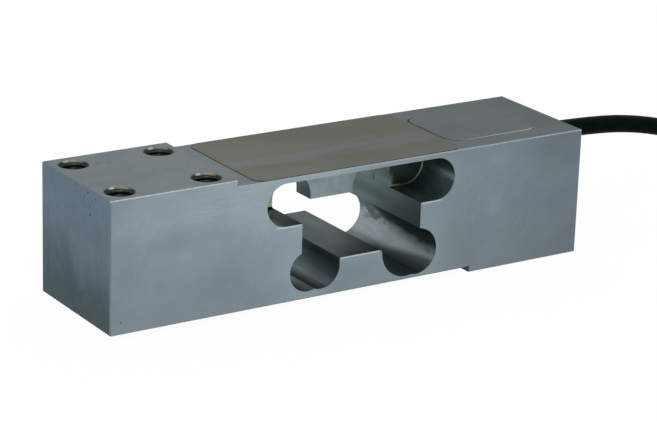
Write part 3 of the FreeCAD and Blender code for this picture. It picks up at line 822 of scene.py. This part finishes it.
@dataclass
class Beam:
    """The milled block and the threads in its eight holes.

    Attributes:
        pad_inset: from each end to the middle of its hole pattern, in millimetres.
        hole_spacing: from hole to hole.
        sink_depth: the depth of the countersinks.
        thread_root: the radius at the thread's grooves.
        thread_crest: the radius at its crests.
        thread_pitch: from crest to crest.
        thread_length: how deep the thread runs.
        flank: how steeply a groove's flanks rise, from a crest over a whole pitch.
        run_in: where the thread's first turn starts and where it is full.
        wall: how much further out the lining's outer wall lies.
        turn_points: points round each turn.
        pitch_points: points down each pitch.
    """

    pad_inset: float = 18.75
    hole_spacing: float = 25.4
    sink_depth: float = 0.85
    thread_root: float = 3.36
    thread_crest: float = 3.0
    thread_pitch: float = 1.25
    thread_length: float = 15.0
    flank: float = 2.3
    run_in: tuple[float, float] = (0.2, 0.8)
    wall: float = 0.03
    turn_points: int = 40
    pitch_points: int = 8

    def __post_init__(self) -> None:
        """Read the block's corners from the frame."""
        self.low, self.high = corners_of("beam")

    def hole_places(self) -> list[tuple[float, float, float, float]]:
        """Every hole: its middle, the height of its pad and the way into it."""
        half = self.hole_spacing / 2
        patterns = (
            (self.low[0] + self.pad_inset, self.high[2], -1.0),
            (self.high[0] - self.pad_inset, self.low[2], 1.0),
        )
        places = product(patterns, (-half, half), (-half, half))
        return [(middle + along, across, face, way) for (middle, face, way), along, across in places]

    def thread(self, number: int, place: tuple[float, float, float, float], metal: Material) -> Piece:
        """The thread in one hole.

        The radius at a turn and a depth is the crest's plus a share of the groove's depth:
        the share is a triangle wave of the depth less the pitch times the turn. A plain
        outer wall at the groove's radius closes the lining.

        Args:
            number: the hole's number.
            place: the hole's middle, face height and the way into it.
            metal: its finish.

        Returns:
            The piece.
        """
        x, y, face, way = place
        turns = np.linspace(0, 2 * np.pi, self.turn_points, endpoint=False)
        samples = int(self.thread_length / self.thread_pitch * self.pitch_points)
        depth = np.linspace(0, self.thread_length, samples)
        phase = (depth[:, None] / self.thread_pitch - turns[None, :] / (2 * np.pi)) % 1.0
        groove = np.clip(self.flank * (0.5 - np.abs(phase - 0.5)), 0.0, 1.0)
        groove = 1 - (1 - groove) * np.interp(depth, self.run_in, (0.0, 1.0))[:, None]
        inner = self.thread_crest + (self.thread_root - self.thread_crest) * groove
        wall = np.full((2, len(turns)), self.thread_root + self.wall)
        radius = np.concatenate([inner, wall])
        levels = np.concatenate([depth, [self.thread_length, 0.0]])[:, None]
        height = np.broadcast_to(face + way * (self.sink_depth + levels), radius.shape)
        surface = np.stack([x + radius * np.cos(turns), y + radius * np.sin(turns), height], axis=-1)
        faces = ring_faces(*radius.shape)
        if way > 0:
            faces = faces[:, ::-1]
        return mesh_piece(f"thread_{number}", surface.reshape(-1, 3), faces, metal)

    def build(self) -> list[Piece]:
        """Dress the block and its cover plate and put the threads in.

        Returns:
            The new pieces.
        """
        metal = MilledMetal("milled_aluminium", float(self.high[0]), float(self.high[1])).build()
        for node in ("beam", "pocket_cover"):
            dress(node, metal)
        thread_metal = ThreadMetal().material("cut_thread")
        pieces = []
        for number, place in enumerate(self.hole_places(), start=1):
            piece = self.thread(number, place, thread_metal)
            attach(piece, body_name)
            pieces.append(piece)
        return pieces


@dataclass
class CoverFoil:
    """The brushed foil over the gauges.

    Attributes:
        corner: the radius of its corners, in millimetres.
        outline: the width of the brown line round it.
        sheen: where the painted cool sheen band along it starts and ends across the beam, and its soft end.
    """

    corner: float = 3.6
    outline: float = 0.3
    sheen: Point = (-6.5, 0.5, 1.6)

    def build(self) -> None:
        """Dress the foil: brushed lines along it, a painted cool sheen band, brown streaks and a brown rim."""
        graph = Graph("brushed_foil")
        inside = graph.from_rim(*corners_of("gauge_cover_foil"), self.corner)
        brushed = graph.noise((0.06, 2.6, 1.0), 4.0, 0.65)
        wander = graph.swing(graph.noise((0.05, 0.3, 1.0)), -1.6, 1.6)
        band = graph.band(graph.plus(graph.y, wander), *self.sheen)
        clouds = graph.noise((0.04, 0.12, 1.0))
        graph.blend(clouds, *noise_middle, (0.066, 0.067, 0.054), (0.078, 0.079, 0.067))
        # Painted sheen: a cool band along the foil
        graph.lay(band, (0.078, 0.093, 0.096), 0.8)
        browned = graph.noise((0.03, 0.5, 1.0), 3.0, 0.6)
        graph.lay(graph.ramp(browned, 0.5, 0.75, 0.0, 0.5), (0.078, 0.066, 0.044))
        graph.mottle(brushed, 0.87, 1.10)
        graph.shade(graph.x, -31.0, 10.0, 1.16, 0.95)
        rim = graph.ramp(inside, self.outline * 1.4, self.outline * 0.5)
        graph.lay(rim, (0.036, 0.030, 0.022), 0.55)
        graph.bump(brushed, 0.003)
        dress("gauge_cover_foil", graph.finish(graph.swing(brushed, 0.36, 0.46)))


@dataclass
class CoverGroove:
    """The narrow groove round the cover plate, part open and part filled flush.

    Attributes:
        corner: the radius of the seat's corners, in millimetres.
        width: how wide the groove is.
        open_depth: how deep it lies where it is open.
        rounding: how far the bead's edges sink on the near side, as a share of its width.
        side_points: points along each straight side.
        corner_points: points round each corner.
    """

    corner: float = 4.0
    width: float = 0.25
    open_depth: float = 0.3
    rounding: float = 0.2
    side_points: int = 24
    corner_points: int = 10

    def path(self, low: np.ndarray, high: np.ndarray) -> tuple[np.ndarray, np.ndarray]:
        """The outline of the seat: four quarter circles joined by straight sides.

        Args:
            low: the seat's lowest corner.
            high: its highest corner.

        Returns:
            The points and the outward direction at each.
        """
        middle = (low + high)[:2] / 2
        reach = (high - low)[:2] / 2 - self.corner
        share = np.linspace(0, 1, self.side_points + 2)[1:-1, None]
        arcs = []
        rays = []
        for number, signs in enumerate(((1, 1), (-1, 1), (-1, -1), (1, -1))):
            turn = np.radians(90 * number + np.linspace(0, 90, self.corner_points))
            rays.append(np.stack([np.cos(turn), np.sin(turn)], axis=-1))
            arcs.append(middle + reach * signs + self.corner * rays[-1])
        points = []
        outward = []
        for arc, following, ray in zip(arcs, arcs[1:] + arcs[:1], rays):
            points += [arc, arc[-1] + share * (following[0] - arc[-1])]
            outward += [ray, np.repeat(ray[-1:], self.side_points, axis=0)]
        return np.concatenate(points), np.concatenate(outward)

    def build(self) -> Piece:
        """Carry a low profile with softened edges round the seat.

        The bead's top is sunk where it faces the gauges and level elsewhere, and its
        edges are softened on the near side: both by smooth shares of the outward
        direction. Each point is the outline's, less a share of the width along the
        outward direction, at its own height.

        Returns:
            The piece.
        """
        low, high = corners_of("cover_adhesive")
        line, outward = self.path(low, high)
        open_share = np.clip(-outward[:, 0] * 1.6 - 0.1, 0, 1)
        near_share = np.clip(-outward[:, 1] * 1.5 - 0.3, 0, 1)
        top = corners_of("pocket_cover")[1][2] - self.open_depth * open_share
        edge = top - self.rounding * self.width * near_share
        floor = np.full_like(top, low[2])
        reach = np.array([0.0, 0.0, 0.3, 0.7, 1.0, 1.0])[:, None] * -self.width
        height = np.stack([floor, edge, top, top, edge, floor], axis=1)
        points = np.concatenate([line[:, None] + reach * outward[:, None], height[..., None]], axis=-1)
        piece = mesh_piece(
            "cover_bead", points.reshape(-1, 3), ring_faces(*height.shape), self.finish(low, high), False
        )
        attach(piece, body_name)
        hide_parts("cover_adhesive")
        return piece

    def finish(self, low: np.ndarray, high: np.ndarray) -> Material:
        """Near black where the groove is open, as painted shade in the gap; metal colour where it is
        filled, with a painted highlight along the near side.

        Args:
            low: the seat's lowest corner.
            high: its highest corner.

        Returns:
            The finished material.
        """
        graph = Graph("groove_fill")
        # Painted highlight along the near side of the bead
        near_highlight = graph.within(
            y=(low[1] + 1.4, low[1] + 0.6), x=(low[0] + 4.0, high[0] - 6.0, 0.55, 1.0)
        )
        graph.colour = graph.paint(near_highlight, (0.070, 0.084, 0.090), (0.42, 0.43, 0.38))
        # Painted shade, near black, where the groove is open
        graph.lay(graph.ramp(graph.x, low[0] + 4.2, low[0] + 2.2), (0.006, 0.016, 0.016))
        graph.mottle(graph.noise((1.2, 1.2, 1.2), 3.0), 0.95, 1.05)
        return graph.finish(0.42)


@dataclass
class Cable:
    """The free cable, wound into a hank, from the end face to the sleeve.

    Attributes:
        radius: the cable's radius, in millimetres.
        route: the cable's points from the end face to the hank.
        hank_middle: the middle of the hank on the floor.
        straight: the length of its straight bundles.
        outer_turn: the radius of the outer turn at its folds.
        layers: how many layers it has, of two turns each.
        base: the height that the ties lift it by.
        fold_points: points round each fold.
        step_bulge: how far a turn stands out where it steps down, as a share of a width.
        tail: the cable's points past the hank.
        length: its length in metres, from the end face to the sleeve; not used.
    """

    radius: float = 2.6
    route: tuple[Point, ...] = (
        (75.0, 0.0, 30.5), (91.0, 0.0, 30.3), (109.0, 0.0, 28.7),
        (129.0, 0.0, 23.5), (151.0, 8.5, 19.3), (173.0, 18.6, 18.2),
        (195.0, 20.8, 18.9),
    )
    hank_middle: tuple[float, float] = (220.0, 0.0)
    straight: float = 50.0
    outer_turn: float = 20.8
    layers: int = 4
    base: float = 0.7
    fold_points: int = 6
    step_bulge: float = 0.42
    tail: tuple[Point, ...] = ((195.0, -20.8, 3.3), (180.0, -20.2, 3.3), (164.0, -17.4, 3.3))
    length: float = 1.80

    def hank(self) -> np.ndarray:
        """The control points of the hank's turns, from the top layer down.

        One turn is a straight bundle, a fold, the other bundle and the near fold. The
        turns lie in pairs, an outer and an inner one, and each layer is wound the other
        way from the one above. In the near fold every turn moves over to the next place:
        sideways within its layer, or down to the next layer with a slight bulge, both by
        a smooth step of the way round the fold.

        Returns:
            One point a row.
        """
        width = 2 * self.radius
        spread = np.pi / self.fold_points
        turned = spread * (np.arange(self.fold_points) + 0.5)
        along = np.array([-1.0, 0.0, 1.0]) * self.straight / 2
        inset = np.array([1.0, 0.0, -1.0]) * np.tan(spread / 2)
        stretch = 1 / np.cos(spread / 2)
        ends = np.full(self.fold_points, self.straight / 2)
        middle = np.concatenate([along, ends, -along, -ends])
        ray_x = np.concatenate([inset, stretch * np.sin(turned)])
        ray_y = np.concatenate([np.ones(3), stretch * np.cos(turned)])
        ray_x, ray_y = (np.concatenate([ray, -ray]) for ray in (ray_x, ray_y))
        moved = np.concatenate([np.zeros(len(middle) - self.fold_points), turned / np.pi])

        turn = np.arange(2 * self.layers)[:, None]
        row = turn // 2
        next_row = (turn + 1) // 2
        inner = next_row % 2
        next_inner = (turn + 2) // 2 % 2
        step = moved * moved * (3 - 2 * moved)
        stepping = np.where(next_row > row, 1, 0) * np.where(inner == 1, 1, -1)
        inset_by = inner + (next_inner - inner) * step + self.step_bulge * stepping * np.sin(np.pi * moved)
        radius = self.outer_turn - width * inset_by
        top = self.base + width * (self.layers - 0.5)
        height = top - width * (row + (next_row - row) * step)
        x, y = self.hank_middle
        points = np.stack([x + middle + radius * ray_x, y + radius * ray_y, height], axis=-1)
        return points.reshape(-1, 3)[1 : -self.fold_points]

    def line(self) -> np.ndarray:
        """All the cable's control points, from the end face to the sleeve."""
        return np.concatenate([np.array(self.route), self.hank(), np.array(self.tail)])

    def jacket(self) -> Material:
        """Satin black jacket with a soft sheen, fine grain and a little dust.

        Returns:
            The finished material.
        """
        graph = Graph("cable_jacket")
        grain = graph.noise((2.0, 2.0, 2.0), 3.0)
        dust = graph.noise((0.15, 0.15, 0.15), 3.0, 0.6)
        graph.blend(dust, 0.45, 0.75, (0.0002, 0.0040, 0.0038), (0.0015, 0.0065, 0.0055))
        graph.bump(grain, 0.02)
        fill(graph.shader, {"Specular IOR Level": 0.02})
        return graph.finish(graph.swing(grain, 0.42, 0.55), 0.0, 1.0)

    def build(self) -> Piece:
        """Returns:
            The cable.
        """
        points = self.line() * mm
        curve = bpy.data.curves.new("cable_line", "CURVE")
        curve.dimensions = "3D"
        spline = curve.splines.new("NURBS")
        spline.points.add(len(points) - 1)
        flat = np.concatenate([points, np.ones((len(points), 1))], axis=1)
        spline.points.foreach_set("co", flat.ravel())
        spline.order_u = 3
        spline.use_endpoint_u = True
        curve.resolution_u = 6
        curve.bevel_depth = self.radius * mm
        curve.bevel_resolution = 6
        curve.use_fill_caps = True
        curve.materials.append(self.jacket())
        cable = bpy.data.objects.new("free_cable", curve)
        bpy.context.scene.collection.objects.link(cable)
        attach(cable, body_name)
        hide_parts("cable", "cable_hank", "cable_tail")
        return cable


# Plain finishes, by how the names of their solids start
plain_finishes = {
    "gauge_sealant": PlainFinish((0.55, 0.52, 0.46), 0.4),
    "gauge_wires": PlainFinish((0.62, 0.61, 0.58), 0.3, 1.0),
    "board_pad": PlainFinish((0.03, 0.03, 0.03), 0.7),
    "circuit_board": PlainFinish((0.02, 0.11, 0.04), 0.35, 0.0, 0.15, 6.0),
    "span_resistor": PlainFinish((0.10, 0.26, 0.38), 0.3),
    "zero_resistor": PlainFinish((0.02, 0.02, 0.025), 0.3),
    "pocket_potting": PlainFinish((0.015, 0.015, 0.018), 0.35, 0.0, 0.2, 6.0),
    "jacket_clamp": PlainFinish((0.42, 0.42, 0.41), 0.4, 1.0),
    "cable_entry": PlainFinish((0.008, 0.014, 0.014), 0.4),
    "cable_bush": PlainFinish((0.012, 0.014, 0.014), 0.6, 0.0, 0.25, 2.0, 0.03),
    "board_leads": PlainFinish((0.40, 0.06, 0.04), 0.35),
    "hank_tie": PlainFinish((0.02, 0.02, 0.02), 0.45, 0.0, 0.2, 2.0, 0.02),
    "end_sleeve": PlainFinish((0.015, 0.015, 0.015), 0.55, 0.0, 0.25, 2.0, 0.03),
    "lead_red": PlainFinish((0.45, 0.02, 0.015), 0.3),
    "lead_black": PlainFinish((0.015, 0.015, 0.015), 0.3),
    "lead_shield": PlainFinish((0.60, 0.45, 0.04), 0.3),
    "lead_white": PlainFinish((0.72, 0.72, 0.68), 0.3),
    "lead_green": PlainFinish((0.01, 0.20, 0.05), 0.3),
}


def dress_inner() -> None:
    """Give the pieces inside the block and on the cable their finishes."""
    film_thickness = 0.08
    film_top = corners_of("gauge_sealant")[0][2] + film_thickness
    amber = TwoToneFinish((0.32, 0.13, 0.02), (0.62, 0.33, 0.18), film_top)
    finishes = {**plain_finishes, "strain_gauge": amber, "solder_terminal": amber}
    for node, (start, finish) in product(frame["nodes"], finishes.items()):
        if node.startswith(start):
            dress(node, finish.material(node))


@dataclass
class Studio:
    """Floor, light and camera.

    Attributes:
        camera_place: where the camera stands, in millimetres.
        azimuth: which way it looks, in degrees from +Y towards +X.
        dip: how far it looks down.
        roll: how far it leans.
        lens: its focal length for a sensor 36 mm wide.
        floor_half: half the floor's side.
        floor_glow: the share of even white in what a camera sees of the floor.
        surround: how bright the surround is where it only lights the cell.
        lamps: each lamp's name, place and power in watts.
        lamp_side: the side of each lamp.
        target: what the lamps point at.
    """

    camera_place: Point = (-363.90, -557.73, 241.91)
    azimuth: float = 33.336
    dip: float = 18.552
    roll: float = 1.846
    lens: float = 140.484
    floor_half: float = 3000.0
    floor_glow: float = 0.96
    surround: float = 0.6
    lamps: tuple[tuple[str, Point, float], ...] = (
        ("key_lamp", (-350.0, -500.0, 650.0), 2.6),
        ("back_lamp", (300.0, 500.0, 600.0), 1.2),
    )
    lamp_side: float = 500.0
    target: Point = (0.0, 0.0, 20.0)

    def camera(self) -> None:
        """Put the camera in: its axes come from the azimuth, the dip and the roll."""
        azimuth, dip, roll = (math.radians(a) for a in (self.azimuth, self.dip, self.roll))
        level = math.cos(dip)
        forward = Vector((math.sin(azimuth) * level, math.cos(azimuth) * level, -math.sin(dip)))
        flat_right = Vector((math.cos(azimuth), -math.sin(azimuth), 0.0))
        right = flat_right * math.cos(roll) + flat_right.cross(forward) * math.sin(roll)
        up = right.cross(forward)
        data = bpy.data.cameras.new("camera")
        data.lens = self.lens
        data.sensor_width = 36.0
        data.sensor_fit = "HORIZONTAL"
        data.clip_end = 20.0
        camera = bpy.data.objects.new("camera", data)
        turn = Matrix((right, up, -forward)).transposed().to_4x4()
        camera.matrix_world = Matrix.Translation(Vector(self.camera_place) * mm) @ turn
        bpy.context.scene.collection.objects.link(camera)
        bpy.context.scene.camera = camera

    def seen(self, tree: Tree) -> Socket:
        """1 where a camera, glossy or transmission ray looks, 0 elsewhere.

        Args:
            tree: the node tree to work in.

        Returns:
            The mask.
        """
        path = wire(tree, "LightPath")
        total = path.outputs["Is Camera Ray"]
        for ray in ("Is Glossy Ray", "Is Transmission Ray"):
            total = wire(tree, "Math", {0: total, 1: path.outputs[ray]}, operation="MAXIMUM").outputs[0]
        return total

    def floor(self) -> None:
        """A wide pale floor that looks white and keeps a faint shadow."""
        corners = np.array([(-1, -1, 0), (1, -1, 0), (1, 1, 0), (-1, 1, 0)]) * self.floor_half
        material = bpy.data.materials.new("pale_floor")
        tree = clear_tree(material)
        diffuse = wire(tree, "BsdfDiffuse", {"Color": (0.9, 0.9, 0.9)})
        glow = wire(tree, "Emission")
        share = wire(tree, "Math", {0: self.seen(tree), 1: self.floor_glow}, operation="MULTIPLY")
        mix = wire(tree, "MixShader", {0: share.outputs[0], 1: diffuse.outputs[0], 2: glow.outputs[0]})
        wire(tree, "OutputMaterial", {"Surface": mix.outputs[0]})
        mesh_piece("floor", corners, np.array([[0, 1, 2, 3]]), material)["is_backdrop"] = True

    def world(self) -> None:
        """An even white surround, dimmer where it only lights the cell."""
        world = bpy.data.worlds.new("studio")
        bpy.context.scene.world = world
        tree = clear_tree(world)
        levels = {"Value": self.seen(tree), "To Min": self.surround, "To Max": 1.0}
        strength = wire(tree, "MapRange", levels).outputs["Result"]
        background = wire(tree, "Background", {"Color": (1.0, 1.0, 1.0), "Strength": strength})
        wire(tree, "OutputWorld", {"Surface": background.outputs[0]})

    def lamp(self, name: str, place: Point, power: float) -> None:
        """A soft square lamp that points at the middle of the cell.

        Args:
            name: the lamp's name.
            place: where it hangs, in millimetres.
            power: its power, in watts.
        """
        data = bpy.data.lights.new(name, "AREA")
        data.size = self.lamp_side * mm
        data.energy = power
        lamp = bpy.data.objects.new(name, data)
        way = (Vector(self.target) - Vector(place)).to_track_quat("-Z", "Y")
        lamp.matrix_world = Matrix.Translation(Vector(place) * mm) @ way.to_matrix().to_4x4()
        bpy.context.scene.collection.objects.link(lamp)

    def build(self) -> None:
        """Put everything round the cell in."""
        bpy.context.scene.view_settings.view_transform = "Standard"
        self.camera()
        self.floor()
        self.world()
        for lamp in self.lamps:
            self.lamp(*lamp)


def main() -> None:
    """Build and dress every part of the cell in order."""
    logging.basicConfig(level=logging.INFO, format="%(name)s: %(message)s")
    Studio().build()
    log.info("studio ready")
    cable = Cable().build()
    log.info("%s laid", cable.name)
    threads = Beam().build()
    log.info("block dressed, %d threads cut", len(threads))
    CoverFoil().build()
    log.info("foil dressed")
    groove = CoverGroove().build()
    log.info("%s laid", groove.name)
    dress_inner()
    log.info("inner pieces dressed")
    visual_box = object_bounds()
    boxes = {"cad": cad_box, "visual": visual_box}
    {name: [list(corner) for corner in box] for name, box in boxes.items()}


if __name__ == "__main__":
    main()
